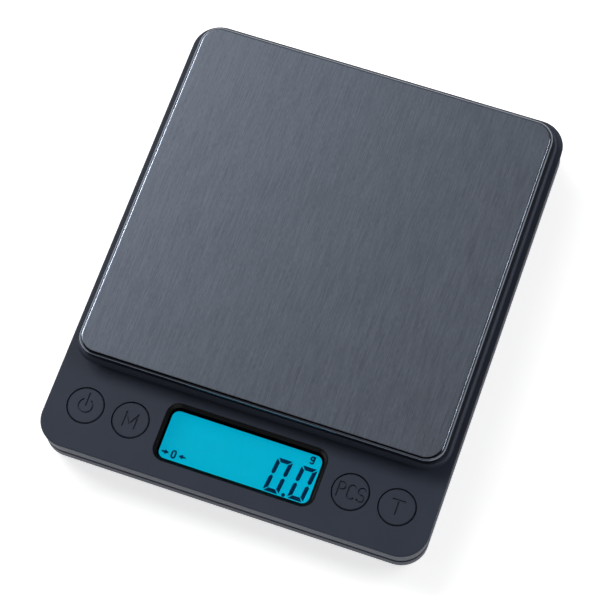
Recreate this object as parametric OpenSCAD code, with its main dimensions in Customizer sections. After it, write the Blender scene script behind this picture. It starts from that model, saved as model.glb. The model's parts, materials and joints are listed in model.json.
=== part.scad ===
// Pocket counting scale: a steel platform on a bending-beam load cell in a two-part plastic case.
// Millimetres. Origin on the table under the centre of the case, +Z up, display and buttons
// towards -Y.

/* [Case] */
// Width of the case, left to right
case_w = 106.4; // [105:0.2:110]
// Depth of the case, front to back
case_d = 128.4; // [128:0.2:132]
// Plan radius of the case corners
case_corner_r = 7.6; // [7.2:0.2:8.4]
// Height of the button deck above the table
deck_z = 13; // [13:0.1:13.4]
// Height of the case underside above the table
underside_z = 1.2; // [1.1:0.1:1.3]
// Radius where the case walls roll into the underside
underside_r = 3; // [2.6:0.2:3.4]
// Small round along the deck edge
deck_edge_r = 0.3; // [0.2:0.1:0.6]
// Height of the parting line between the two case halves
parting_z = 7.4; // [7.2:0.1:7.6]
// Height of the shadow groove at the parting line
parting_gap = 1.3; // [0.9:0.1:1.4]
// Distance the case wall leans in from the deck down to the parting line
wall_lean = 0.3; // [0.2:0.05:0.35]
// Wall thickness of both case halves
wall = 1.8; // [1.6:0.1:2]
// Thickness of the deck
roof_t = 1.6; // [1.4:0.1:1.6]
// Thickness of the floor of the lower case
floor_t = 1.8; // [1.6:0.1:2]

/* [Plinth] */
// Width of the raised plinth under the platform, at its foot
plinth_w = 103.6; // [102:0.2:104]
// Depth of the plinth at its foot
plinth_d = 102.7; // [101:0.1:103]
// Distance of the plinth centre behind the case centre
plinth_y = 11.35; // [11:0.05:11.6]
// Height of the plinth above the deck
plinth_h = 2; // [1.8:0.1:2.2]
// Plan radius of the plinth corners
plinth_corner_r = 6.5; // [6:0.1:7]

/* [Platform] */
// Side of the square steel platform
platform_w = 100.8; // [99:0.2:101]
// Distance of the platform centre behind the case centre
platform_y = 10.7; // [10.4:0.1:11]
// Height of the weighing surface above the table
platform_z = 19.2; // [19:0.1:20]
// Plan radius of the platform corners
platform_corner_r = 5.5; // [5:0.1:6]
// Bend radius of the platform edge
platform_edge_r = 1.1; // [0.9:0.1:1.3]
// Depth of the turned-down platform rim
rim_h = 2.4; // [2.2:0.1:2.6]
// Thickness of the platform sheet
sheet_t = 0.6; // [0.5:0.1:0.7]
// Downward travel of the platform until the overload stops touch
platform_travel = 0.4; // [0.3:0.05:0.4]

/* [Buttons] */
// Radius of each button cap
button_r = 4.8; // [4.4:0.1:4.9]
// Gap between a cap and the deck
button_gap = 0.3; // [0.2:0.05:0.3]
// Distance of the inner buttons from the middle
inner_button_x = 30.3; // [30:0.1:31]
// Distance of the outer buttons from the middle
outer_button_x = 42.9; // [42.5:0.1:43]
// Distance of the button row in front of the case centre
button_row_y = 51.7; // [51.5:0.1:52]
// Downward travel of a button
button_travel = 0.4; // [0.2:0.05:0.4]

/* [Display] */
// Width of the window at the deck surface
window_w = 44.5; // [43:0.1:45]
// Depth of the window at the deck surface
window_d = 16.5; // [15.5:0.1:16.6]
// Distance of the window centre in front of the case centre
window_y = 51.3; // [51.1:0.1:51.5]
// Plan radius of the window corners at the deck surface
window_corner_r = 3.5; // [3:0.1:4]
// Width and depth of the sloped window edge
window_bevel = 1; // [0.8:0.1:1.1]
// Width of the black border printed under the window, inside its edge
border_w = 0.55; // [0.2:0.05:0.6]
// Height of a display digit
digit_h = 9.55; // [9:0.05:9.8]
// Width of a display digit
digit_w = 4.35; // [4:0.05:4.6]
// Lean of the display digits, in degrees
digit_lean = 6; // [0:1:10]

/* [Load cell] */
// Length of the aluminium beam
beam_l = 45; // [45:0.5:46]
// Width of the beam
beam_w = 12; // [11:0.5:13]
// Height of the beam
beam_h = 6; // [5.6:0.1:6]

/* [Batteries] */
// Radius of an AAA cell
cell_r = 5.2; // [5.1:0.05:5.25]
// Length of an AAA cell with its button end
cell_l = 44.5; // [44:0.1:44.5]
// Opening angle at which the battery door is drawn
door_angle = 0; // [0:5:80]

/* [Hidden] */
$fn = 64;

cut = 0.5; // how far a cutting solid runs past the surface it opens
floor_z = underside_z + floor_t;
roof_z = deck_z - roof_t;
plinth_top_z = deck_z + plinth_h;
plinth_roof_z = plinth_top_z - wall;
inner_w = case_w - 2 * wall;
inner_d = case_d - 2 * wall;
inner_corner_r = case_corner_r - wall;

// Tongue of the lower case inside the upper case
tongue_h = parting_gap + 0.8;
tongue_inset = 1.05;
lower_rim_z = parting_z - parting_gap / 2;
upper_rim_z = parting_z + parting_gap / 2;
lower_edge_r = 0.3;

// Feet and case screws
foot_r = 4.5;
foot_h = 1.8;
foot_chamfer = 0.3;
foot_at = [42.5, 50.5];
rear_screw_at = [46.5, 57.5];
front_screw_at = [36.6, -58.2];
boss_r = 2.9;
case_screw_r = 1.1;
case_head_r = 2.3;
case_head_z = 2;
case_head_h = 1.6;
screw_play = 0.02;
screw_clearance = 0.2;
rear_boss_z = 5.5;

// Circuit board and what stands on it
board_z = 5.4;
board_t = 1.2;
board_top_z = board_z + board_t;
board_w = 92;
board_front_y = -61.6;
board_back_y = -39.2;
board_corner_r = 2;
board_post_r = 2.2;
board_post_at = [36.6, -45.8];
board_screw_r = 0.9;
board_head_r = 1.9;
board_head_h = 1.2;
board_screw_top_z = 10.6;
chip_y = -50;
chip_w = 10;
chip_h = 1.4;
lead_count = 11;
lead_pitch = 0.8;
lead_size = [0.35, 1.2, 0.25];
crystal_at = [12, -54];
crystal_r = 1.2;
crystal_l = 7;
capacitor_size = [1.2, 2, 0.9];
capacitor_x = [-14, -11.5, 17, 20, 23];
capacitor_y = -46;
resistor_size = [1.2, 2, 0.5];
resistor_x = [-20, -17, -14, 17, 20, 23];
resistor_y = -55;
switch_w = 6;
switch_h = 3.3;
plunger_r = 1.7;
plunger_bore_r = 1.95;
plunger_base_z = board_top_z + 2.6;
plunger_play = 0.2;
plunger_bore_z = plunger_base_z - button_travel - plunger_play;

// Buttons: a cap in the deck and a flange that keeps it in the case
flange_r = 5.4;
flange_play = 0.15;
flange_t = 0.8;
flange_z = roof_z - flange_play - flange_t;
cap_chamfer = 0.25;
glyph_w = 0.42;
glyph_depth = 0.3;
glyph_h = 3.8;
letter_w = 3.2;

// Display stack, from the window down
lens_t = 0.8;
border_t = 0.05;
border_shift = 0.2;
frame_play = 0.05;
frame_lip = 0.2;
frame_sink = 0.1;
frame_foot_h = 0.2;
lens_margin = 2.3;
lens_top_z = deck_z - window_bevel;
glass_t = 1;
lcd_gap = 0.1;
glass_w = 47.4;
glass_front_y = -59.5;
glass_back_y = -39.5;
rear_glass_back_y = -42.3;
front_glass_z = lens_top_z - lens_t - lcd_gap - glass_t;
rear_glass_z = front_glass_z - lcd_gap - glass_t;
seal_w = 0.8;
segment_t = 0.06;
segment_z = front_glass_z - 0.08;
segment_w = 1.1;
segment_gap = 0.16;
digit_pitch = 6.65;
digit_at = [17.55, -52.98];
point_at = [13.85, -57.4];
point_r = 0.5;
unit_at = [17.95, -46.2];
unit_h = 1.8;
zero_mark_at = [-16.8, -56.2];
zero_mark_h = 1.9;
arrow_tip_x = 1.3;
arrow_l = 1.2;
arrow_half_w = 0.7;
arrow_tail_x = 3.1;
symbol_w = 0.46;
backlight_t = 1.7;
backlight_z = rear_glass_z - lcd_gap - backlight_t;
backlight_inset = [0.4, 0.2];
holder_t = 0.8;
holder_play = 0.1;
zebra_l = 40;
zebra_play = 0.3;

// Load cell, across the middle of the platform
pedestal_z = 4.5;
spacer_t = 1;
beam_z = pedestal_z + spacer_t;
beam_end_x = beam_l / 2;
beam_bore_r = 2.2;
beam_bore_x = 5;
beam_slot_h = 2;
beam_screw_x = [13.5, 19.5];
beam_screw_r = 1.5;
beam_head_r = 2.7;
beam_head_sink = 1;
beam_head_h = 1.6;
fixed_head_z = 1.4;
mount_l = 13;
live_spacer_t = 0.8;
leg_z = beam_z + beam_h + live_spacer_t;
leg_r = 3.6;
leg_play = 0.9;
leg_bore_top_z = 16.2;
gauge_size = [5, 4.5, 0.15];
stop_gap = platform_travel + 0.05;
stop_w = 1.6;

// Platform tray under the steel sheet
tape_t = 0.1;
tape_l = 84;
tape_from_y = 22;
tape_to_y = 36;
tray_top_z = platform_z - sheet_t - tape_t;
tray_t = 1;
tray_play = 0.2;
tray_rib_z = 16.4;
tray_rib_t = 1.2;
tray_pocket_count = 4;
tray_pocket_r = 4;
overload_post_r = 2;
overload_post_at = 40;

// Battery bay and door
bay_y = 41.2;
bay_w = 49.3;
bay_d = 22.2;
bay_wall = 2.2;
bay_ceiling_t = 0.6;
cell_pitch = 11;
cell_z = underside_z + 1.5 + cell_r;
cell_nub_r = 1.9;
cell_nub_l = 1;
bay_ceiling_z = cell_z + cell_r + 0.15;
door_t = 1.4;
door_gap = 0.25;
recess_w = bay_w + 3.1;
recess_d = bay_d + 3.1;
hinge_r = door_t / 2;
hinge_y = bay_y - recess_d / 2 + door_gap + hinge_r;
hinge_z = underside_z + hinge_r;
hinge_pin_r = 0.4;
hinge_pin_l = 1;
hinge_pin_play = 0.05;
latch_w = 12;
latch_l = 8;
latch_slit = 0.8;
grip_count = 4;
grip_pitch = 1.4;
grip_w = 0.6;
grip_depth = 0.35;
grip_margin = 1.5;
scoop_depth = 0.9;
contact_t = 0.4;
contact_w = 8;
contact_z = 4;
contact_h = 8;
tag_l = 3.6;
tag_size = [2, 0.4];
tag_z = 11;
tag_play = 0.1;
spring_wire_r = 0.3;
spring_turns = 3.5;
spring_foot_r = 3.4;
spring_tip_r = 2.3;
spring_steps = 16; // rings in each turn
spring_sides = 8;

// Wires
wire_r = 0.5;
gauge_wire_r = 0.35;
gauge_wire_count = 4;
gauge_wire_pitch = 1.1;
gauge_wire_x = -3.4;
gauge_pad_x = -26;
battery_pad_x = [-31, -32.6];
pad_y = -42.5;
loose_wire_z = floor_z + 0.9;
climb_y = -34; // where the wires rise from the floor to the board
wire_bend = 2.5; // how far before a corner the wire starts to turn
wire_sides = 8;
wire_steps = 5; // rings in one bend
wire_side = [1, 0.35, 0.2]; // a direction that no wire runs along

// Rounded-rectangle solid. Its child is half of the vertical section at an edge: X runs out from
// the centre of a corner to the edge at X = r, Y is the height. Quarter turns at the corners meet
// straight runs face to face, so every round surface stays true.
module slab(w, d, r, z0, z1) {
    run_x = w / 2 - r;
    run_y = d / 2 - r;
    for (mx = [0, 1], my = [0, 1])
        mirror([mx, 0, 0]) mirror([0, my, 0]) translate([run_x, run_y, 0])
            rotate_extrude(angle = 90) children();
    for (my = [0, 1])
        mirror([0, my, 0]) translate([-run_x, run_y, 0]) rotate([90, 0, 90])
            linear_extrude(2 * run_x) children();
    for (mx = [0, 1])
        mirror([mx, 0, 0]) translate([run_x, run_y, 0]) rotate([90, 0, 0])
            linear_extrude(2 * run_y) children();
    translate([-run_x, -run_y, z0]) cube([2 * run_x, 2 * run_y, z1 - z0]);
}

// Edge section of a slab: a rectangle whose outer corners may be rounded at the top and bottom
module edge_section(r, z0, z1, top_r = 0, bottom_r = 0) {
    difference() {
        translate([0, z0]) square([r, z1 - z0]);
        if (top_r > 0) translate([r - top_r, z1 - top_r]) corner_waste(top_r);
        if (bottom_r > 0) translate([r - bottom_r, z0 + bottom_r]) mirror([0, 1]) corner_waste(bottom_r);
    }
}

// What a round of radius r takes off a square corner
module corner_waste(r) {
    difference() {
        square(r + cut);
        circle(r);
    }
}

module rounded_box(w, d, r, z0, z1, top_r = 0, bottom_r = 0) {
    slab(w, d, r, z0, z1) edge_section(r, z0, z1, top_r, bottom_r);
}

module block(x0, x1, y0, y1, z0, z1) {
    translate([x0, y0, z0]) cube([x1 - x0, y1 - y0, z1 - z0]);
}

module rod(r, z0, z1) {
    translate([0, 0, z0]) cylinder(r = r, h = z1 - z0);
}

// Repeats its children left and right
module both_sides() {
    for (side = [0, 1]) mirror([side, 0, 0]) children();
}

module at_case_screws() {
    both_sides() {
        translate(rear_screw_at) children();
        translate(front_screw_at) children();
    }
}

module at_feet() {
    both_sides() for (side = [0, 1]) mirror([0, side, 0]) translate(foot_at) children();
}

module at_board_posts() {
    both_sides() translate(board_post_at) children();
}

// The fixed end is at -X and the live end at +X of the beam
module at_beam_screws(end) {
    for (x = beam_screw_x) translate([end * x, platform_y, 0]) children();
}

module at_bay() {
    translate([0, bay_y, 0]) children();
}

// ---- Case ----

module lower_case() {
    stop_z = beam_z - stop_gap;
    color("#3a3e47") difference() {
        union() {
            lower_shell();
            at_bay() block(-bay_w / 2 - bay_wall, bay_w / 2 + bay_wall, -bay_d / 2 - bay_wall,
                bay_d / 2 + bay_wall, floor_z - cut, bay_ceiling_z + bay_ceiling_t);
            translate([0, platform_y, 0]) {
                block(-beam_end_x, -beam_end_x + mount_l, -beam_w / 2, beam_w / 2,
                    floor_z - cut, pedestal_z);
                for (side = [0, 1]) mirror([0, side, 0])
                    block(beam_end_x - mount_l, beam_end_x, beam_w / 2 - stop_w, beam_w / 2,
                        floor_z - cut, stop_z);
            }
            both_sides() translate(rear_screw_at) rod(boss_r, floor_z - cut, rear_boss_z);
            both_sides() translate(front_screw_at) rod(boss_r, floor_z - cut, board_z);
        }
        at_case_screws() {
            rod(case_head_r + screw_clearance, underside_z - cut, case_head_z + case_head_h);
            rod(case_screw_r + screw_clearance, underside_z, rear_boss_z + cut);
        }
        at_feet() rod(foot_r + screw_clearance, underside_z - cut, foot_h);
        at_beam_screws(-1) {
            rod(beam_head_r + screw_clearance, underside_z - cut, fixed_head_z + beam_head_h);
            rod(beam_screw_r + screw_clearance, underside_z, pedestal_z + cut);
        }
        battery_bay_cut();
    }
}

// Outer wall, floor and the tongue that locates the upper case
module lower_shell() {
    tongue_r = case_corner_r - tongue_inset;
    difference() {
        union() {
            rounded_box(case_w - 2 * wall_lean, case_d - 2 * wall_lean, case_corner_r - wall_lean,
                underside_z, lower_rim_z, lower_edge_r, underside_r);
            rounded_box(case_w - 2 * tongue_inset, case_d - 2 * tongue_inset, tongue_r,
                lower_rim_z - cut, lower_rim_z + tongue_h);
        }
        rounded_box(inner_w, inner_d, inner_corner_r, floor_z, lower_rim_z + tongue_h + cut,
            bottom_r = underside_r - wall);
    }
}

module battery_bay_cut() {
    at_bay() {
        block(-bay_w / 2, bay_w / 2, -bay_d / 2, bay_d / 2, underside_z - cut, bay_ceiling_z);
        block(-recess_w / 2, recess_w / 2, -recess_d / 2, recess_d / 2,
            underside_z - cut, underside_z + door_t);
        // Finger scoop behind the latch
        translate([0, recess_d / 2 - 1, 0])
            rod(latch_w / 2, underside_z - cut, underside_z + scoop_depth);
        // Slots that the solder tags pass through
        for (side = [-1, 1]) translate([0, side * cell_pitch / 2, 0])
            block(-bay_w / 2 - bay_wall - cut, -bay_w / 2 + cut, -tag_size[0] / 2 - tag_play,
                tag_size[0] / 2 + tag_play, tag_z - tag_play, tag_z + tag_size[1] + tag_play);
    }
    // Sockets for the hinge pins of the door
    hinge_rod(hinge_pin_r + hinge_pin_play, recess_w + 2 * hinge_pin_l);
}

// A rod on the hinge axis of the battery door
module hinge_rod(r, l) {
    translate([-l / 2, hinge_y, hinge_z]) rotate([0, 90, 0]) cylinder(r = r, h = l);
}

module upper_case() {
    color("#3a3e47") difference() {
        union() {
            upper_shell();
            both_sides() translate(rear_screw_at) rod(boss_r, rear_boss_z, plinth_roof_z + cut);
            both_sides() translate(front_screw_at) rod(board_post_r, board_top_z, roof_z + cut);
            at_board_posts() rod(board_post_r, board_top_z, roof_z + cut);
        }
        at_case_screws() rod(case_screw_r + screw_play, rear_boss_z - cut, roof_z);
        at_board_posts() rod(board_screw_r + screw_play, board_top_z - cut, roof_z);
        for (x = [-outer_button_x, -inner_button_x, inner_button_x, outer_button_x])
            translate([x, -button_row_y, 0]) rod(button_r + button_gap, roof_z - cut, deck_z + cut);
        window_cut();
        leg_outline(leg_r + leg_play, roof_z, plinth_top_z + cut);
    }
}

module upper_shell() {
    skirt_inset = tongue_inset - 0.1;
    difference() {
        union() {
            slab(case_w, case_d, case_corner_r, upper_rim_z, deck_z) leaning_section();
            translate([0, plinth_y, 0]) plinth();
        }
        rounded_box(inner_w, inner_d, inner_corner_r, upper_rim_z - cut, roof_z);
        // Rebate for the tongue of the lower case
        rounded_box(case_w - 2 * skirt_inset, case_d - 2 * skirt_inset, case_corner_r - skirt_inset,
            upper_rim_z - cut, lower_rim_z + tongue_h + 0.1);
        translate([0, plinth_y, 0])
            rounded_box(plinth_w - 2.5 * wall, plinth_d - 2.5 * wall, plinth_corner_r - 1.25 * wall,
                roof_z - cut, plinth_roof_z);
        // Room for the roof of the battery bay
        at_bay() block(-bay_w / 2 - bay_wall - 0.3, bay_w / 2 + bay_wall + 0.3, -bay_d / 2 - bay_wall - 0.3,
            bay_d / 2 + bay_wall + 0.3, roof_z, bay_ceiling_z + bay_ceiling_t + 0.1);
    }
}

// Edge section of the upper case: rounded at the deck, leaning in towards the parting line
module leaning_section() {
    difference() {
        edge_section(case_corner_r, upper_rim_z, deck_z, top_r = deck_edge_r);
        polygon([
            [case_corner_r - wall_lean, upper_rim_z],
            [case_corner_r, deck_z - deck_edge_r],
            [case_corner_r + cut, deck_z - deck_edge_r],
            [case_corner_r + cut, upper_rim_z - cut],
            [case_corner_r - wall_lean, upper_rim_z - cut]
        ]);
    }
}

// Raised seat under the platform, with sloping sides
module plinth() {
    slope = 0.5;
    slab(plinth_w, plinth_d, plinth_corner_r, deck_z - roof_t / 2, plinth_top_z)
        polygon([
            [0, deck_z - roof_t / 2], [plinth_corner_r, deck_z - roof_t / 2], [plinth_corner_r, deck_z],
            [plinth_corner_r - slope, plinth_top_z - slope / 2],
            [plinth_corner_r - 1.6 * slope, plinth_top_z],
            [0, plinth_top_z]
        ]);
}

// Opening for the window frame, and the pocket that holds the lens
module window_cut() {
    translate([0, -window_y, 0]) {
        rounded_box(window_w, window_d, window_corner_r, roof_z, deck_z + cut);
        rounded_box(lens_w() + 0.2, lens_d() + 0.2, 1.1, roof_z - cut, lens_top_z);
    }
}

function lens_w() = window_w - 2 * window_bevel + 2 * lens_margin;
function lens_d() = window_d - 2 * window_bevel + 2 * lens_margin;

module case_screws() {
    color("#9a9a98") at_case_screws()
        screw(case_screw_r, case_head_r, case_head_z, case_head_h, roof_z - 0.4);
}

// Cross-head screw pointing up, with its head at the bottom
module screw(r, head_r, head_z, head_h, tip_z) {
    difference() {
        union() {
            rod(head_r, head_z, head_z + head_h);
            rod(r, head_z + head_h - 0.1, tip_z);
        }
        for (turn = [0, 90]) rotate(turn)
            block(-head_r * 0.6, head_r * 0.6, -0.25, 0.25, head_z - cut, head_z + head_h * 0.5);
    }
}

module rubber_feet() {
    color("#2b2c2f") at_feet() {
        cylinder(r1 = foot_r - foot_chamfer, r2 = foot_r, h = foot_chamfer);
        rod(foot_r, foot_chamfer, foot_h);
    }
}

// ---- Platform ----

module platform_plate() {
    inner_r = platform_corner_r - sheet_t;
    under_z = platform_z - rim_h;
    color("#5a616d") translate([0, platform_y, 0]) difference() {
        rounded_box(platform_w, platform_w, platform_corner_r, under_z, platform_z, platform_edge_r);
        rounded_box(platform_w - 2 * sheet_t, platform_w - 2 * sheet_t, inner_r, under_z - cut,
            platform_z - sheet_t, top_r = platform_edge_r - sheet_t);
    }
}

module plate_tape() {
    color("#d9d6cc") translate([0, platform_y, 0]) for (side = [0, 1]) mirror([0, side, 0])
        block(-tape_l / 2, tape_l / 2, tape_from_y, tape_to_y, tray_top_z, tray_top_z + tape_t);
}

// Plastic tray glued under the sheet; its leg reaches down to the load cell
module platform_tray() {
    tray_w = platform_w - 2 * sheet_t - 2 * tray_play;
    tray_corner_r = platform_corner_r - sheet_t - tray_play;
    pitch = (tray_w - tray_rib_t) / tray_pocket_count;
    pocket_w = pitch - tray_rib_t;
    first = -pitch * (tray_pocket_count - 1) / 2;
    color("#33363d") difference() {
        union() {
            translate([0, platform_y, 0]) difference() {
                rounded_box(tray_w, tray_w, tray_corner_r, tray_rib_z, tray_top_z,
                    top_r = platform_edge_r - sheet_t);
                for (i = [0 : tray_pocket_count - 1], j = [0 : tray_pocket_count - 1])
                    translate([first + i * pitch, first + j * pitch, 0])
                        rounded_box(pocket_w, pocket_w, tray_pocket_r, tray_rib_z - cut,
                            tray_top_z - tray_t);
            }
            leg_outline(leg_r, leg_z, tray_top_z - tray_t / 2);
            for (sx = [-1, 1], sy = [-1, 1])
                translate([sx * overload_post_at, platform_y + sy * overload_post_at, 0])
                    rod(overload_post_r, plinth_top_z + stop_gap, tray_top_z - tray_t / 2);
        }
        at_beam_screws(1) rod(beam_screw_r + screw_play, leg_z - cut, leg_bore_top_z);
    }
}

// Oval round the two screws of the live end
module leg_outline(r, z0, z1) {
    for (x = beam_screw_x) translate([x, platform_y, 0]) rod(r, z0, z1);
    block(beam_screw_x[0], beam_screw_x[1], platform_y - r, platform_y + r, z0, z1);
}

module tray_screws() {
    head_z = beam_z + beam_head_sink - beam_head_h;
    color("#9a9a98") at_beam_screws(1)
        screw(beam_screw_r, beam_head_r, head_z, beam_head_h, leg_bore_top_z - 0.4);
}

module live_end_spacer() {
    color("#b9bdc2") difference() {
        translate([0, platform_y, 0]) block(beam_end_x - mount_l, beam_end_x, -beam_w / 2 + 1.5,
            beam_w / 2 - 1.5, beam_z + beam_h, leg_z);
        at_beam_screws(1) rod(beam_screw_r + screw_clearance, beam_z, leg_z + cut);
    }
}

// ---- Load cell ----

// One aluminium bar, bored and slotted so that its middle bends and its live end sinks under load
module load_cell_beam() {
    color("#c3c6ca") difference() {
        translate([0, platform_y, beam_z]) difference() {
            block(-beam_end_x, beam_end_x, -beam_w / 2, beam_w / 2, 0, beam_h);
            both_sides() translate([beam_bore_x, -beam_w / 2 - cut, beam_h / 2]) rotate([-90, 0, 0])
                cylinder(r = beam_bore_r, h = beam_w + 2 * cut);
            block(-beam_bore_x, beam_bore_x, -beam_w / 2 - cut, beam_w / 2 + cut,
                (beam_h - beam_slot_h) / 2, (beam_h + beam_slot_h) / 2);
        }
        at_beam_screws(-1) rod(beam_screw_r + screw_play, beam_z - cut, beam_z + beam_h + cut);
        at_beam_screws(1) {
            rod(beam_screw_r + screw_clearance, beam_z - cut, beam_z + beam_h + cut);
            rod(beam_head_r + screw_clearance, beam_z - cut, beam_z + beam_head_sink);
        }
    }
}

// Foil gauges over and under the thin wall beside each bore
module strain_gauges() {
    color("#c9a24a") translate([0, platform_y, 0]) both_sides() translate([beam_bore_x, 0, 0])
        for (z = [beam_z - gauge_size[2], beam_z + beam_h])
            translate([-gauge_size[0] / 2, -gauge_size[1] / 2, z]) cube(gauge_size);
}

module fixed_end_spacer() {
    color("#b9bdc2") difference() {
        translate([0, platform_y, 0])
            block(-beam_end_x, -beam_end_x + mount_l, -beam_w / 2, beam_w / 2, pedestal_z, beam_z);
        at_beam_screws(-1) rod(beam_screw_r + screw_clearance, pedestal_z - cut, beam_z + cut);
    }
}

module load_cell_screws() {
    color("#9a9a98") at_beam_screws(-1)
        screw(beam_screw_r, beam_head_r, fixed_head_z, beam_head_h, beam_z + beam_h - 0.5);
}

// Walls and caps of a tube whose rings are lists of the same number of points
module tube(rings) {
    sides = len(rings[0]);
    last = len(rings) - 1;
    walls = [for (i = [0 : last - 1], k = [0 : sides - 1]) let(
        a = i * sides + k,
        b = i * sides + (k + 1) % sides
    ) each [[a, b, b + sides], [a, b + sides, a + sides]]];
    start_cap = [for (k = [sides - 1 : -1 : 0]) k];
    end_cap = [for (k = [0 : sides - 1]) last * sides + k];
    polyhedron([for (ring = rings) each ring], concat(walls, [start_cap, end_cap]));
}

function unit(v) = v / norm(v);

// Points round the corner at p on the way from a to b
function bend(a, p, b) = let(
    reach = min(wire_bend, 0.45 * min(norm(a - p), norm(b - p))),
    from = p + reach * unit(a - p),
    to = p + reach * unit(b - p)
) [for (step = [0 : wire_steps]) let(t = step / wire_steps)
    (1 - t) * (1 - t) * from + 2 * t * (1 - t) * p + t * t * to];

// The route's points with its corners rounded off
function rounded_route(route) = let(last = len(route) - 1) [
    route[0],
    for (i = [1 : last - 1]) each bend(route[i - 1], route[i], route[i + 1]),
    route[last]
];

function wire_ring(centre, direction, r) = let(
    across = unit(cross(direction, wire_side)),
    up = unit(cross(across, direction))
) [for (k = [0 : wire_sides - 1]) let(a = 360 * k / wire_sides)
    centre + r * (cos(a) * across + sin(a) * up)];

module wire(route, r) {
    path = rounded_route(route);
    last = len(path) - 1;
    tube([for (i = [0 : last])
        wire_ring(path[i], path[min(i + 1, last)] - path[max(i - 1, 0)], r)]);
}

// Way from the floor of the case up over the back edge of the board to a solder pad
function climb(x, r) = [
    [x, climb_y, loose_wire_z],
    [x, board_back_y + 2, board_top_z + 2],
    [x, board_back_y - 1.5, board_top_z + r],
    [x, pad_y, board_top_z + r]
];

module gauge_wires() {
    top_z = beam_z + beam_h + gauge_size[2] + gauge_wire_r;
    beam_front_y = platform_y - beam_w / 2;
    color("#e3e3e0") for (i = [0 : gauge_wire_count - 1]) {
        x = gauge_wire_x - i * gauge_wire_pitch;
        wire(concat([
            [x, platform_y - 1.5, top_z],
            [x, beam_front_y - 1.5, top_z],
            [x, beam_front_y - 4, loose_wire_z],
            [x, beam_front_y - 8, loose_wire_z]
        ], climb(gauge_pad_x - i * gauge_wire_pitch, gauge_wire_r)), gauge_wire_r);
    }
}

// ---- Electronics ----

module main_board() {
    color("#1f5a3a") difference() {
        translate([0, (board_front_y + board_back_y) / 2, 0])
            rounded_box(board_w, board_back_y - board_front_y, board_corner_r, board_z, board_top_z);
        both_sides() translate(front_screw_at)
            rod(case_screw_r + screw_clearance, board_z - cut, board_top_z + cut);
        at_board_posts() rod(board_screw_r + screw_clearance, board_z - cut, board_top_z + cut);
    }
}

module board_screws() {
    color("#9a9a98") at_board_posts()
        screw(board_screw_r, board_head_r, board_z - board_head_h, board_head_h, board_screw_top_z);
}

module controller_chip() {
    first = -lead_pitch * (lead_count - 1) / 2 - lead_size[0] / 2;
    color("#26272a") translate([0, chip_y, board_z]) {
        block(-chip_w / 2, chip_w / 2, -chip_w / 2, chip_w / 2, -chip_h, 0);
        for (turn = [0 : 90 : 270], i = [0 : lead_count - 1]) rotate(turn)
            translate([first + i * lead_pitch, chip_w / 2 - 0.1, -lead_size[2]]) cube(lead_size);
    }
}

module clock_crystal() {
    color("#c9ccd0") translate([crystal_at[0], crystal_at[1], board_z - crystal_r])
        rotate([-90, 0, 0]) cylinder(r = crystal_r, h = crystal_l);
}

module board_capacitors() {
    color("#b58b55") for (x = capacitor_x)
        translate([x, capacitor_y, board_z - capacitor_size[2]]) cube(capacitor_size);
}

module board_resistors() {
    color("#2f3034") for (x = resistor_x)
        translate([x, resistor_y, board_z - resistor_size[2]]) cube(resistor_size);
}

module switch_bodies() {
    color("#4a4b50") both_sides() for (x = [inner_button_x, outer_button_x])
        translate([x, -button_row_y, 0]) difference() {
            block(-switch_w / 2, switch_w / 2, -switch_w / 2, switch_w / 2,
                board_top_z, board_top_z + switch_h);
            rod(plunger_bore_r, plunger_bore_z, board_top_z + switch_h + cut);
        }
}

// ---- Display ----

module display_lens() {
    color("#dfe8ec") translate([0, -window_y, 0])
        rounded_box(lens_w(), lens_d(), 1, lens_top_z - lens_t, lens_top_z);
}

// Black bezel glued to the lens inside the opening of the case, with sloped inner sides
module window_frame() {
    outer_w = window_w - 2 * frame_play;
    outer_d = window_d - 2 * frame_play;
    outer_r = window_corner_r - frame_play;
    top_z = deck_z - frame_sink;
    color("#0c0d10") translate([0, -window_y, 0]) difference() {
        rounded_box(outer_w, outer_d, outer_r, lens_top_z, top_z);
        slab(window_w - 2 * frame_lip + 2 * cut, window_d - 2 * frame_lip + 2 * cut,
            window_corner_r - frame_lip + cut, lens_top_z - cut, top_z + cut)
            polygon([
                [0, lens_top_z - cut],
                [window_corner_r - window_bevel, lens_top_z - cut],
                [window_corner_r - window_bevel, lens_top_z + frame_foot_h],
                [window_corner_r - frame_lip, top_z],
                [window_corner_r - frame_lip + cut, top_z + cut],
                [0, top_z + cut]
            ]);
    }
}

// Black border printed on the underside of the lens
module lens_border() {
    opening_w = window_w - 2 * (window_bevel + border_w);
    opening_d = window_d - 2 * (window_bevel + border_w);
    opening_r = window_corner_r - window_bevel - border_w;
    top_z = lens_top_z - lens_t;
    color("#0c0d10") translate([0, -window_y, 0]) difference() {
        rounded_box(lens_w(), lens_d(), 1, top_z - border_t, top_z);
        translate([0, -border_shift, 0])
            rounded_box(opening_w, opening_d, opening_r, top_z - cut, top_z + cut);
    }
}

module lcd_front_glass() {
    color("#cfe3e6") block(-glass_w / 2, glass_w / 2, glass_front_y, glass_back_y,
        front_glass_z, front_glass_z + glass_t);
}

module lcd_rear_glass() {
    color("#0fb4d2") block(-glass_w / 2, glass_w / 2, glass_front_y, rear_glass_back_y,
        rear_glass_z, rear_glass_z + glass_t);
}

module lcd_edge_seal() {
    color("#12151a") difference() {
        block(-glass_w / 2, glass_w / 2, glass_front_y, rear_glass_back_y,
            rear_glass_z + glass_t, front_glass_z);
        block(-glass_w / 2 + seal_w, glass_w / 2 - seal_w, glass_front_y + seal_w,
            rear_glass_back_y - seal_w, rear_glass_z, front_glass_z + cut);
    }
}

// Leans a point of a digit to the right
function lean(p) = [p[0] + p[1] * tan(digit_lean), p[1]];

// A display segment through the given outline of an upright digit centred on the origin
module segment(outline) {
    translate([0, 0, segment_z]) linear_extrude(segment_t) polygon([for (p = outline) lean(p)]);
}

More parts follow.
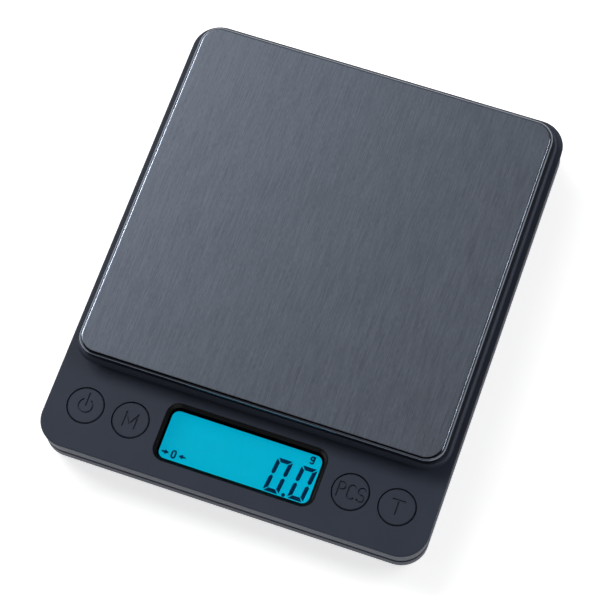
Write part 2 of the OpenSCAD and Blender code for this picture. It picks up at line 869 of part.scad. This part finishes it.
// The six outer segments of a zero, mitred where they meet
module zero_digit() {
    x1 = digit_w / 2;
    x0 = x1 - segment_w;
    y2 = digit_h / 2;
    y1 = y2 - segment_w;
    g = segment_gap;
    tip_y = 0.6 * segment_w;
    for (sy = [1, -1]) {
        segment([
            [-x1 + 2 * g, sy * y2], [x1 - 2 * g, sy * y2], [x0 - g / 2, sy * y1], [-x0 + g / 2, sy * y1]
        ]);
        for (sx = [1, -1])
            segment([
                [sx * x1, sy * (y2 - 2 * g)], [sx * x1, sy * tip_y],
                [sx * (x1 - segment_w / 2), sy * g],
                [sx * x0, sy * tip_y], [sx * x0, sy * (y1 - g)]
            ]);
    }
}

module lcd_digits() {
    color("#0a2a52") {
        for (i = [0, 1]) translate([digit_at[0] - i * digit_pitch, digit_at[1], 0]) zero_digit();
        translate(point_at) rod(point_r, segment_z, segment_z + segment_t);
    }
}

// Part of a flat ring: radius to the middle of the stroke, start angle and sweep
module arc_stroke(r, start, sweep, w, z0, z1) {
    rotate(start) rotate_extrude(angle = sweep) translate([r - w / 2, z0])
        square([w, z1 - z0]);
}

// Straight stroke between two points, with square ends half a width past them
module line_stroke(a, b, w, z0, z1) {
    span = norm(b - a);
    translate(a) rotate(atan2(b[1] - a[1], b[0] - a[0]))
        block(-w / 2, span + w / 2, -w / 2, w / 2, z0, z1);
}

// Unit letter, and the mark for a zeroed reading: an oval between two arrowheads
module lcd_symbols() {
    z1 = segment_z + segment_t;
    bowl_r = unit_h / 4;
    oval_r = zero_mark_h / 4;
    color("#0a2a52") {
        translate(unit_at) {
            translate([0, bowl_r, 0]) arc_stroke(bowl_r, 0, 360, symbol_w, segment_z, z1);
            line_stroke([bowl_r, 2 * bowl_r], [bowl_r, -bowl_r], symbol_w, segment_z, z1);
            translate([0, -bowl_r, 0]) arc_stroke(bowl_r, 200, 160, symbol_w, segment_z, z1);
        }
        translate(zero_mark_at) {
            for (side = [0, 1]) mirror([0, side, 0])
                translate([0, oval_r, 0]) arc_stroke(oval_r, 0, 180, symbol_w, segment_z, z1);
            both_sides() {
                line_stroke([oval_r, -oval_r], [oval_r, oval_r], symbol_w, segment_z, z1);
                translate([arrow_tip_x, 0, segment_z]) linear_extrude(segment_t)
                    polygon([[0, 0], [arrow_l, arrow_half_w], [arrow_l, -arrow_half_w]]);
                line_stroke([arrow_tip_x + arrow_l, 0], [arrow_tail_x, 0], symbol_w, segment_z, z1);
            }
        }
    }
}

module lcd_backlight() {
    x = glass_w / 2 - backlight_inset[0];
    color("#e9f4f6") block(-x, x, glass_front_y + backlight_inset[1],
        rear_glass_back_y - backlight_inset[1], backlight_z, backlight_z + backlight_t);
}

// Frame that holds the display stack on the board
module lcd_holder() {
    x = glass_w / 2 + holder_play;
    y0 = glass_front_y - holder_play;
    y1 = glass_back_y + holder_play;
    color("#e4e4df") difference() {
        block(-x - holder_t, x + holder_t, y0 - holder_t, y1 + holder_t / 2,
            board_top_z, front_glass_z + glass_t - 0.2);
        block(-x, x, y0, y1, board_top_z - cut, front_glass_z + glass_t + cut);
    }
}

// Striped rubber connector between the board and the ledge of the front glass
module zebra_strip() {
    color("#2a2a2c") block(-zebra_l / 2, zebra_l / 2, rear_glass_back_y + zebra_play,
        glass_back_y - zebra_play, board_top_z, front_glass_z);
}

// ---- Buttons ----

// Cap flush with the deck, standing on a flange inside the case; its children are cut into the top
module button(x) {
    color("#3d414a") translate([x, -button_row_y, 0]) difference() {
        union() {
            rod(flange_r, flange_z, flange_z + flange_t);
            rod(button_r, flange_z + flange_t / 2, deck_z - cap_chamfer);
            translate([0, 0, deck_z - cap_chamfer])
                cylinder(r1 = button_r, r2 = button_r - cap_chamfer, h = cap_chamfer);
        }
        children();
    }
}

module engraved_arc(at, r, start, sweep) {
    translate(at) arc_stroke(r, start, sweep, glyph_w, deck_z - glyph_depth, deck_z + cut);
}

module engraved_line(a, b) {
    line_stroke(a, b, glyph_w, deck_z - glyph_depth, deck_z + cut);
}

// Standby symbol: a ring broken by a bar
module power_button() {
    ring_r = glyph_h / 2;
    button(-outer_button_x) {
        engraved_arc([0, 0], ring_r, 120, 300);
        engraved_line([0, 0.1], [0, glyph_h * 0.9]);
    }
}

module mode_button() {
    x = letter_w / 2;
    y = glyph_h / 2;
    button(-inner_button_x) {
        for (side = [-1, 1]) {
            engraved_line([side * x, -y], [side * x, y]);
            engraved_line([side * x, y], [0, -y * 0.5]);
        }
    }
}

// Three narrow letters side by side
module count_button() {
    y = glyph_h / 2;
    bowl_r = y / 2;
    stem_x = -3.3;
    bowl_x = -2.5;
    middle_x = 0.3;
    last_x = 2.9;
    button(inner_button_x) {
        engraved_line([stem_x, -y], [stem_x, y]);
        engraved_line([stem_x, y], [bowl_x, y]);
        engraved_line([stem_x, 0], [bowl_x, 0]);
        engraved_arc([bowl_x, bowl_r], bowl_r, -90, 180);
        engraved_arc([middle_x, bowl_r], bowl_r, 20, 160);
        engraved_line([middle_x - bowl_r, -bowl_r], [middle_x - bowl_r, bowl_r]);
        engraved_arc([middle_x, -bowl_r], bowl_r, 180, 160);
        engraved_arc([last_x, bowl_r], bowl_r, 20, 250);
        engraved_arc([last_x, -bowl_r], bowl_r, 200, 250);
    }
}

module tare_button() {
    x = letter_w / 2;
    y = glyph_h / 2;
    button(outer_button_x) {
        engraved_line([-x, y], [x, y]);
        engraved_line([0, -y], [0, y]);
    }
}

module plunger(x) {
    color("#e8e3d6") translate([x, -button_row_y, 0]) rod(plunger_r, plunger_base_z, flange_z);
}

module power_switch_plunger() {
    plunger(-outer_button_x);
}

module mode_switch_plunger() {
    plunger(-inner_button_x);
}

module count_switch_plunger() {
    plunger(inner_button_x);
}

module tare_switch_plunger() {
    plunger(outer_button_x);
}

// ---- Batteries ----

// Cover that swings down about its front edge; its latch is a sprung tongue at the back edge
module battery_door() {
    door_w = recess_w - 2 * door_gap;
    back_y = bay_y + recess_d / 2 - door_gap;
    grip_x = latch_w / 2 - grip_margin;
    color("#3a3e47")
        translate([0, hinge_y, hinge_z]) rotate([-door_angle, 0, 0]) translate([0, -hinge_y, -hinge_z]) {
            difference() {
                block(-door_w / 2, door_w / 2, hinge_y, back_y, underside_z, underside_z + door_t);
                both_sides() block(latch_w / 2, latch_w / 2 + latch_slit, back_y - latch_l, back_y + cut,
                    underside_z - cut, underside_z + door_t + cut);
                // Grip grooves on the latch
                for (i = [1 : grip_count]) translate([0, back_y - i * grip_pitch, 0])
                    block(-grip_x, grip_x, -grip_w - 0.5, -0.5,
                        underside_z - cut, underside_z + grip_depth);
            }
            hinge_rod(hinge_r, door_w);
            hinge_rod(hinge_pin_r, door_w + 2 * hinge_pin_l);
        }
}

// AAA cell whose button end points to +X, at the given side of the bay
module cell(side) {
    can_l = cell_l - cell_nub_l;
    negative_x = bay_w / 2 - contact_t - cell_l;
    at_bay() translate([0, side * cell_pitch / 2, cell_z]) rotate([0, 0, side > 0 ? 180 : 0])
        translate([negative_x, 0, 0]) rotate([0, 90, 0]) {
            cylinder(r = cell_r, h = can_l - 0.6);
            translate([0, 0, can_l - 0.6]) cylinder(r1 = cell_r, r2 = cell_r - 0.6, h = 0.6);
            translate([0, 0, can_l - 0.1]) cylinder(r = cell_nub_r, h = cell_nub_l + 0.1);
        }
}

module front_battery() {
    color("#8a8f96") cell(-1);
}

module rear_battery() {
    color("#8a8f96") cell(1);
}

// Rings of points round a cone-shaped spiral along +X
function spring_ring(turn, from_x, to_x) = let(
    share = turn / spring_turns,
    coil_r = spring_foot_r + share * (spring_tip_r - spring_foot_r),
    x = from_x + share * (to_x - from_x)
) [for (k = [0 : spring_sides - 1]) let(
    a = 360 * k / spring_sides,
    ring_r = coil_r + spring_wire_r * cos(a)
) [x + spring_wire_r * sin(a), ring_r * cos(360 * turn), ring_r * sin(360 * turn)]];

module spring(from_x, to_x) {
    tube([for (i = [0 : spring_turns * spring_steps]) spring_ring(i / spring_steps, from_x, to_x)]);
}

// Springs that press on the flat ends of the cells
module battery_springs() {
    foot_x = -bay_w / 2 + contact_t + spring_wire_r;
    tip_x = bay_w / 2 - contact_t - cell_l - spring_wire_r;
    color("#c8c9cc") at_bay() for (side = [-1, 1])
        translate([0, side * cell_pitch / 2, cell_z]) rotate([0, 0, side > 0 ? 180 : 0])
            spring(foot_x, tip_x);
}

// Two separate plates at the left end, each with a solder tag
module battery_terminals() {
    color("#d2d3d6") at_bay() for (side = [-1, 1]) translate([-bay_w / 2, side * cell_pitch / 2, 0]) {
        block(0, contact_t, -contact_w / 2, contact_w / 2, contact_z, contact_z + contact_h);
        block(-tag_l, contact_t, -tag_size[0] / 2, tag_size[0] / 2, tag_z, tag_z + tag_size[1]);
    }
}

// One plate at the right end joins the two cells in series
module battery_link() {
    half = (cell_pitch + contact_w) / 2;
    color("#d2d3d6") at_bay()
        block(bay_w / 2 - contact_t, bay_w / 2, -half, half, contact_z, contact_z + contact_h);
}

module battery_wire(side, pad_x) {
    tag_x = -bay_w / 2 - tag_l + 0.5;
    y = bay_y + side * cell_pitch / 2;
    wire(concat([
        [tag_x, y, tag_z - wire_r],
        [pad_x, y, tag_z - wire_r],
        [pad_x, y - 3, loose_wire_z],
        [pad_x, y - 8, loose_wire_z]
    ], climb(pad_x, wire_r)), wire_r);
}

module battery_wire_red() {
    color("#b3262a") battery_wire(-1, battery_pad_x[0]);
}

module battery_wire_black() {
    color("#1c1c1e") battery_wire(1, battery_pad_x[1]);
}

lower_case();
upper_case();
case_screws();
rubber_feet();
platform_plate();
plate_tape();
platform_tray();
live_end_spacer();
tray_screws();
load_cell_beam();
strain_gauges();
fixed_end_spacer();
load_cell_screws();
gauge_wires();
main_board();
board_screws();
controller_chip();
clock_crystal();
board_capacitors();
board_resistors();
switch_bodies();
window_frame();
display_lens();
lens_border();
lcd_front_glass();
lcd_edge_seal();
lcd_digits();
lcd_symbols();
lcd_rear_glass();
lcd_backlight();
lcd_holder();
zebra_strip();
power_button();
mode_button();
count_button();
tare_button();
power_switch_plunger();
mode_switch_plunger();
count_switch_plunger();
tare_switch_plunger();
battery_door();
front_battery();
rear_battery();
battery_springs();
battery_terminals();
battery_link();
battery_wire_red();
battery_wire_black();
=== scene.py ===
"""Counting scale: materials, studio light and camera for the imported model.

Metres, in the model's own frame: +Z up, display and buttons towards -Y.
"""
import json
import math

import bpy
from mathutils import Matrix, Vector


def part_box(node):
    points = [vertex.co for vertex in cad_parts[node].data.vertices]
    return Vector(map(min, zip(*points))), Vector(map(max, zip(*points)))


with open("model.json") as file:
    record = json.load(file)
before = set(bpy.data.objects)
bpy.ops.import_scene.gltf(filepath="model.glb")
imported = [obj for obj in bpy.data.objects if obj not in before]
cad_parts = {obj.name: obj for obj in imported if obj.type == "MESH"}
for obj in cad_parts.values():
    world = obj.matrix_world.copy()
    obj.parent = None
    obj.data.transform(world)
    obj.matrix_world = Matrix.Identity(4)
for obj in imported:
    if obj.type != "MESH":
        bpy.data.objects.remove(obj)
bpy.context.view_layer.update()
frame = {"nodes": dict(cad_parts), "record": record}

MM = 0.001
PATCH_SIZE = 12 * MM  # size of the slow colour changes of moulded stuff
GLOSS_SPREAD = 0.06  # how far fine grain moves the roughness of moulded stuff, up and down
METAL_GLOSS_SPREAD = 0.07  # the same for metal

# ---------------------------------------------------------------- materials


def material(name, **sockets):
    """A new material with a Principled shader and plain values on its sockets."""
    mat = bpy.data.materials.new(name)
    mat.use_nodes = True
    shader = mat.node_tree.nodes["Principled BSDF"]
    for socket, value in sockets.items():
        shader.inputs[socket.replace("_", " ")].default_value = value
    return mat, mat.node_tree, shader


def add(tree, kind, inputs=(), **settings):
    """A new node. Its inputs are plain values or other nodes' outputs."""
    node = tree.nodes.new("ShaderNode" + kind)
    for key, value in settings.items():
        setattr(node, key, value)
    for key, value in dict(inputs).items():
        if isinstance(value, bpy.types.NodeSocket):
            tree.links.new(value, node.inputs[key])
        else:
            node.inputs[key].default_value = value
    return node


def place(tree, scale=(1, 1, 1)):
    """Coordinates in the model's frame, stretched by the given scale."""
    coords = add(tree, "TexCoord").outputs["Object"]
    return add(tree, "Mapping", {"Vector": coords, "Scale": scale}).outputs["Vector"]


def noise(tree, size, detail=2.0, stretch=(1, 1, 1)):
    """Noise from 0 to 1 whose grains are about the given size, times stretch along each axis."""
    scale = tuple(1 / (size * s) for s in stretch)
    return add(
        tree, "TexNoise", {"Vector": place(tree, scale), "Scale": 1.0, "Detail": detail}
    ).outputs["Fac"]


def spread(tree, value, low, high, from_low=0.3, from_high=0.7):
    """The value mapped from its usual range to low..high."""
    return add(
        tree,
        "MapRange",
        {"Value": value, "From Min": from_low, "From Max": from_high, "To Min": low, "To Max": high},
    ).outputs["Result"]


def multiply(tree, first, second):
    """The product of two values."""
    return add(tree, "Math", {0: first, 1: second}, operation="MULTIPLY").outputs[0]


def tint(tree, value, dark, light):
    """A colour between dark and light."""
    ramp = add(tree, "ValToRGB", {"Fac": value})
    ramp.color_ramp.elements[0].color = (*dark, 1)
    ramp.color_ramp.elements[1].color = (*light, 1)
    return ramp.outputs["Color"]


def bump(tree, shader, height, depth, strength=1.0):
    """Joins a height from 0 to 1 to the shader's normal, with the given real depth."""
    node = add(tree, "Bump", {"Height": height, "Distance": depth, "Strength": strength})
    tree.links.new(node.outputs["Normal"], shader.inputs["Normal"])


def shade(color, factor):
    """The colour made darker or lighter by a factor."""
    return tuple(min(1.0, c * factor) for c in color)


def textured(name, color, roughness, grain, depth, contrast=0.12, **sockets):
    """Moulded or cast stuff: small colour and gloss changes over a fine-grained surface."""
    mat, tree, shader = material(name, **sockets)
    patches = spread(tree, noise(tree, PATCH_SIZE, 3), 0, 1)
    color_out = tint(tree, patches, shade(color, 1 - contrast), shade(color, 1 + contrast))
    tree.links.new(color_out, shader.inputs["Base Color"])
    fine = noise(tree, grain, 3)
    gloss = spread(tree, fine, roughness - GLOSS_SPREAD, roughness + GLOSS_SPREAD)
    tree.links.new(gloss, shader.inputs["Roughness"])
    bump(tree, shader, fine, depth)
    return mat


def brushed_steel():
    """Tinted steel sheet brushed from front to back."""
    mat, tree, shader = material("brushed_steel", Metallic=1.0, Anisotropic=0.4)
    streaks = noise(tree, 0.22 * MM, 2, stretch=(1, 36, 1))
    hairs = noise(tree, 0.12 * MM, 2, stretch=(1, 12, 1))
    grain = add(tree, "Math", {0: streaks, 1: hairs}, operation="ADD").outputs[0]
    shine = spread(tree, grain, 0, 1, 0.7, 1.3)
    tree.links.new(
        tint(tree, shine, (0.092, 0.105, 0.130), (0.139, 0.158, 0.194)), shader.inputs["Base Color"]
    )
    # The press has smoothed the bent edge: fully so where the sheet tilts by 13 degrees or more
    normal = add(tree, "NewGeometry").outputs["Normal"]
    upward = add(tree, "SeparateXYZ", {"Vector": normal}).outputs["Z"]
    flatness = spread(tree, upward, 0, 1, 0.975, 0.998)
    rough = add(
        tree,
        "MapRange",
        {"Value": flatness, "To Min": 0.14, "To Max": spread(tree, streaks, 0.40, 0.47)},
    ).outputs["Result"]
    tree.links.new(rough, shader.inputs["Roughness"])
    across = add(tree, "Tangent", direction_type="RADIAL", axis="Y").outputs["Tangent"]
    tree.links.new(across, shader.inputs["Tangent"])
    bump(tree, shader, grain, 0.002 * MM)
    return mat


def metal(name, color, roughness, grain=0.3 * MM, stretch=(1, 1, 1)):
    """Plain or plated metal with faint marks."""
    mat, tree, shader = material(name, Metallic=1.0)
    marks = noise(tree, grain, 4, stretch)
    tree.links.new(
        tint(tree, spread(tree, marks, 0, 1), shade(color, 0.85), shade(color, 1.1)),
        shader.inputs["Base Color"],
    )
    gloss = spread(tree, marks, roughness - METAL_GLOSS_SPREAD, roughness + METAL_GLOSS_SPREAD)
    tree.links.new(gloss, shader.inputs["Roughness"])
    bump(tree, shader, marks, 0.004 * MM)
    return mat


def clear(name, color, roughness):
    """Clear plastic or glass with faint polishing marks."""
    mat, tree, shader = material(name, IOR=1.46, **{"Transmission Weight": 1.0})
    shader.inputs["Base Color"].default_value = (*color, 1)
    marks = noise(tree, 6 * MM, 2)
    tree.links.new(spread(tree, marks, roughness, roughness + 0.02), shader.inputs["Roughness"])
    return mat


def lit_glass():
    """Rear display glass, lit from behind; its glow is dimmed near the left and back edges, which is
    painted shade of the window wall.
    """
    mat, tree, shader = material("lcd_lit_glass", Roughness=0.25)
    low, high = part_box("lcd_rear_glass")
    xyz = add(tree, "SeparateXYZ", {"Vector": add(tree, "TexCoord").outputs["Object"]})
    # Painted shade: the glow dims over 9 mm from the left edge and 5 mm from the back edge, where
    # the window wall shades the display.
    painted_shade_left = spread(tree, xyz.outputs["X"], 0, 1, low.x, low.x + 9 * MM)
    painted_shade_back = spread(tree, xyz.outputs["Y"], 0, 1, high.y, high.y - 5 * MM)
    cells = noise(tree, 3 * MM, 2)
    level = multiply(tree, multiply(tree, painted_shade_left, painted_shade_back), spread(tree, cells, 0.96, 1.0))
    backlight_and_painted_shade = tint(tree, level, (0.0, 0.37, 0.55), (0.0, 0.465, 0.66))
    tree.links.new(backlight_and_painted_shade, shader.inputs["Emission Color"])
    unlit = tint(tree, cells, (0.0, 0.05, 0.07), (0.0, 0.06, 0.08))
    tree.links.new(unlit, shader.inputs["Base Color"])
    shader.inputs["Emission Strength"].default_value = 1.0
    return mat


def display_ink():
    """Darkened liquid crystal in dark navy, with a faint glow of the same navy that is painted light
    standing in for lamplight reaching the segments.
    """
    mat, tree, shader = material("lcd_ink", Roughness=0.35)
    cells = noise(tree, 0.4 * MM, 2)
    navy_and_painted_glow = tint(tree, cells, (0.0, 0.012, 0.05), (0.0, 0.018, 0.07))
    tree.links.new(navy_and_painted_glow, shader.inputs["Base Color"])
    # Painted light: the segments glow faintly in their own navy.
    tree.links.new(navy_and_painted_glow, shader.inputs["Emission Color"])
    shader.inputs["Emission Strength"].default_value = 0.8
    return mat


def battery_jacket():
    """Printed sleeve on a steel can: dark body, copper band towards the button end, bare ends."""
    mat, tree, shader = material("battery_jacket", Roughness=0.3)
    low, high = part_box("front_battery")
    x = add(tree, "SeparateXYZ", {"Vector": add(tree, "TexCoord").outputs["Object"]}).outputs["X"]
    along = spread(tree, x, 0, 1, low.x, high.x)
    ramp = add(tree, "ValToRGB", {"Fac": along})
    ramp.color_ramp.interpolation = "CONSTANT"
    stops = ramp.color_ramp.elements
    bare, dark, copper = (0.55, 0.55, 0.54, 1), (0.03, 0.032, 0.036, 1), (0.62, 0.30, 0.14, 1)
    stops[0].color = bare
    stops[1].position, stops[1].color = 0.03, dark
    stops.new(0.66).color = copper
    stops.new(0.945).color = bare
    tree.links.new(ramp.outputs["Color"], shader.inputs["Base Color"])
    marks = noise(tree, 0.6 * MM, 3)
    tree.links.new(spread(tree, marks, 0.22, 0.36), shader.inputs["Roughness"])
    tree.links.new(spread(tree, along, 0.2, 0.9, 0.0, 1.0), shader.inputs["Metallic"])
    bump(tree, shader, marks, 0.01 * MM)
    return mat


def circuit_board():
    """Green solder mask over copper areas, with the traces just showing as a relief."""
    mat, tree, shader = material("circuit_board", Roughness=0.35)
    cells_per_metre = 700
    cells = add(
        tree, "TexVoronoi", {"Vector": place(tree), "Scale": cells_per_metre}, distance="CHEBYCHEV"
    ).outputs["Distance"]
    copper = spread(tree, cells, 0, 1, 0.35, 0.37)
    mask = tint(tree, copper, (0.008, 0.10, 0.045), (0.02, 0.17, 0.08))
    tree.links.new(mask, shader.inputs["Base Color"])
    tree.links.new(spread(tree, noise(tree, 1 * MM), 0.28, 0.42), shader.inputs["Roughness"])
    bump(tree, shader, copper, 0.03 * MM)
    return mat


def striped_rubber():
    """Layers of carbon and clear silicone rubber, stacked from left to right."""
    mat, tree, shader = material("zebra_rubber")
    pitch = 0.6 * MM
    wave_turn = 6.28  # the wave texture repeats after about two pi
    wave = add(
        tree, "TexWave", {"Vector": place(tree), "Scale": 1 / pitch / wave_turn}, bands_direction="X"
    ).outputs["Fac"]
    layers = tint(tree, wave, (0.02, 0.02, 0.022), (0.30, 0.31, 0.31))
    tree.links.new(layers, shader.inputs["Base Color"])
    tree.links.new(spread(tree, wave, 0.5, 0.65, 0, 1), shader.inputs["Roughness"])
    bump(tree, shader, wave, 0.02 * MM)
    return mat


MATERIALS = {
    "case_plastic": textured(
        "case_plastic", (0.037, 0.045, 0.068), 0.52, 0.16 * MM, 0.008 * MM, 0.05,
        Specular_IOR_Level=0.22,
    ),
    "button_plastic": textured(
        "button_plastic", (0.039, 0.047, 0.070), 0.5, 0.14 * MM, 0.008 * MM, 0.05,
        Specular_IOR_Level=0.22,
    ),
    "brushed_steel": brushed_steel(),
    "tray_plastic": textured("tray_plastic", (0.026, 0.028, 0.033), 0.55, 0.2 * MM, 0.02 * MM),
    "foam_tape": textured("foam_tape", (0.72, 0.70, 0.65), 0.9, 0.3 * MM, 0.05 * MM),
    "foot_rubber": textured("foot_rubber", (0.022, 0.022, 0.024), 0.8, 0.12 * MM, 0.02 * MM),
    "screw_steel": metal("screw_steel", (0.48, 0.48, 0.46), 0.3),
    "aluminium": metal("aluminium", (0.66, 0.67, 0.69), 0.34, 0.2 * MM, (12, 1, 1)),
    "gauge_foil": metal("gauge_foil", (0.66, 0.42, 0.14), 0.35),
    "wire_white": textured("wire_white", (0.72, 0.72, 0.70), 0.35, 0.4 * MM, 0.01 * MM, 0.05),
    "wire_red": textured("wire_red", (0.50, 0.02, 0.02), 0.35, 0.4 * MM, 0.01 * MM, 0.05),
    "wire_black": textured(
        "wire_black", (0.015, 0.015, 0.017), 0.35, 0.4 * MM, 0.01 * MM, 0.05
    ),
    "circuit_board": circuit_board(),
    "chip_black": textured("chip_black", (0.016, 0.016, 0.018), 0.6, 0.1 * MM, 0.01 * MM),
    "crystal_can": metal("crystal_can", (0.74, 0.74, 0.75), 0.18),
    "capacitor_ceramic": textured(
        "capacitor_ceramic", (0.36, 0.22, 0.10), 0.4, 0.2 * MM, 0.01 * MM
    ),
    "resistor_ceramic": textured(
        "resistor_ceramic", (0.02, 0.02, 0.022), 0.3, 0.2 * MM, 0.01 * MM
    ),
    "switch_plastic": textured("switch_plastic", (0.07, 0.07, 0.078), 0.5, 0.2 * MM, 0.01 * MM),
    "plunger_plastic": textured(
        "plunger_plastic", (0.72, 0.68, 0.56), 0.45, 0.3 * MM, 0.01 * MM, 0.05
    ),
    "frame_plastic": textured(
        "frame_plastic", (0.002, 0.0022, 0.003), 0.3, 0.2 * MM, 0.004 * MM, Specular_IOR_Level=0.25
    ),
    "border_ink": textured("border_ink", (0.004, 0.0042, 0.005), 0.45, 0.3 * MM, 0.004 * MM),
    "clear_lens": clear("clear_lens", (0.97, 0.99, 1.0), 0.02),
    "lcd_glass": clear("lcd_glass", (0.95, 0.99, 1.0), 0.01),
    "lcd_lit_glass": lit_glass(),
    "lcd_seal": textured("lcd_seal", (0.008, 0.009, 0.012), 0.5, 0.2 * MM, 0.01 * MM),
    "lcd_ink": display_ink(),
    "backlight_panel": textured(
        "backlight_panel", (0.78, 0.88, 0.90), 0.3, 0.5 * MM, 0.02 * MM, 0.04
    ),
    "holder_plastic": textured(
        "holder_plastic", (0.72, 0.72, 0.69), 0.5, 0.3 * MM, 0.02 * MM, 0.05
    ),
    "zebra_rubber": striped_rubber(),
    "battery_jacket": battery_jacket(),
    "contact_nickel": metal("contact_nickel", (0.70, 0.69, 0.66), 0.25),
}

for subpart in frame["record"]["subparts"]:
    mesh_object = frame["nodes"][subpart["node"]]
    for slot in mesh_object.material_slots:
        slot.material = MATERIALS[subpart["material_slot"]]

# ---------------------------------------------------------------- floor and light

FLOOR_SIZE = 6.0
floor_mesh = bpy.data.meshes.new("floor")
half = FLOOR_SIZE / 2
corners = [(-half, -half, 0), (half, -half, 0), (half, half, 0), (-half, half, 0)]
floor_mesh.from_pydata(corners, [], [(0, 1, 2, 3)])
floor = bpy.data.objects.new("floor", floor_mesh)
bpy.context.scene.collection.objects.link(floor)
floor_mat, floor_tree, floor_shader = material("floor_paper", Roughness=0.9)
floor_tree.links.new(
    tint(floor_tree, noise(floor_tree, 40 * MM, 3), (0.93, 0.93, 0.93), (0.95, 0.95, 0.95)),
    floor_shader.inputs["Base Color"],
)
floor_shader.inputs["Emission Color"].default_value = (1, 1, 1, 1)
floor_shader.inputs["Emission Strength"].default_value = 0.65
floor_mesh.materials.append(floor_mat)

LIT_POINT = Vector((0, 0, 15 * MM))  # the middle of the scale, which every light faces


def softbox(name, azimuth, elevation, distance, size, power):
    """A soft light at the given direction: azimuth 0 is in front of the scale, 90 on its right.

    Angles in degrees, distance and size in metres, power in watts.
    """
    lamp = bpy.data.lights.new(name, "AREA")
    lamp.shape = "RECTANGLE"
    lamp.size, lamp.size_y = size
    lamp.energy = power
    a, e = math.radians(azimuth), math.radians(elevation)
    out = Vector((math.sin(a) * math.cos(e), -math.cos(a) * math.cos(e), math.sin(e)))
    holder = bpy.data.objects.new(name, lamp)
    holder.location = LIT_POINT + out * distance
    holder.rotation_mode = "QUATERNION"
    holder.rotation_quaternion = out.to_track_quat("Z", "Y")
    bpy.context.scene.collection.objects.link(holder)


softbox("left", 236, 50, 2.0, (1.8, 0.6), 9.7)
softbox("left_strip", 243, 42, 1.4, (0.8, 0.06), 7)
softbox("right_strip", 118, 48, 1.4, (0.8, 0.08), 3.6)
softbox("front_fill", 20, 32, 1.6, (1.4, 0.6), 1.8)
softbox("front_right_fill", 55, 15, 1.6, (1.2, 0.4), 1.6)
softbox("front_left_fill", 306, 15, 1.6, (1.2, 0.4), 1.6)

# Pale studio walls: darker overhead, in front and on the right
world = bpy.data.worlds.new("studio")
bpy.context.scene.world = world
world.use_nodes = True
studio = world.node_tree
surroundings = studio.nodes["Background"]
surroundings.inputs["Strength"].default_value = 1.0
direction = add(studio, "SeparateXYZ", {"Vector": add(studio, "TexCoord").outputs["Generated"]})
overhead = spread(studio, direction.outputs["Z"], 1.0, 0.0, 0.1, 0.85)
ahead = spread(studio, direction.outputs["Y"], 0.2, 1.0, -0.6, 0.2)
aside = spread(studio, direction.outputs["X"], 1.0, 0.3, 0.2, 0.85)
level = multiply(studio, overhead, multiply(studio, ahead, aside))
studio.links.new(tint(studio, level, (0, 0, 0), (0.97, 0.985, 1.0)), surroundings.inputs["Color"])

bpy.context.scene.view_settings.view_transform = "Standard"

# ---------------------------------------------------------------- camera

CAMERA_AT = Vector((0.1014, -0.2126, 0.5918))
CAMERA_AZIMUTH = 26.06
CAMERA_TILT_DOWN = 68.33
CAMERA_ROLL = -7.02
LENS_MM = 141.2

azimuth, tilt, roll = map(math.radians, (CAMERA_AZIMUTH, CAMERA_TILT_DOWN, CAMERA_ROLL))
forward = Vector(
    (-math.sin(azimuth) * math.cos(tilt), math.cos(azimuth) * math.cos(tilt), -math.sin(tilt))
)
level_right = Vector((math.cos(azimuth), math.sin(azimuth), 0))
level_up = level_right.cross(forward)
right = level_right * math.cos(roll) + level_up * math.sin(roll)
up = right.cross(forward)
camera = bpy.data.objects.new("camera", bpy.data.cameras.new("camera"))
camera.data.lens = LENS_MM
camera.data.clip_start = 0.01
camera.matrix_world = Matrix((right, up, -forward)).transposed().to_4x4()
camera.location = CAMERA_AT
bpy.context.scene.collection.objects.link(camera)
bpy.context.scene.camera = camera
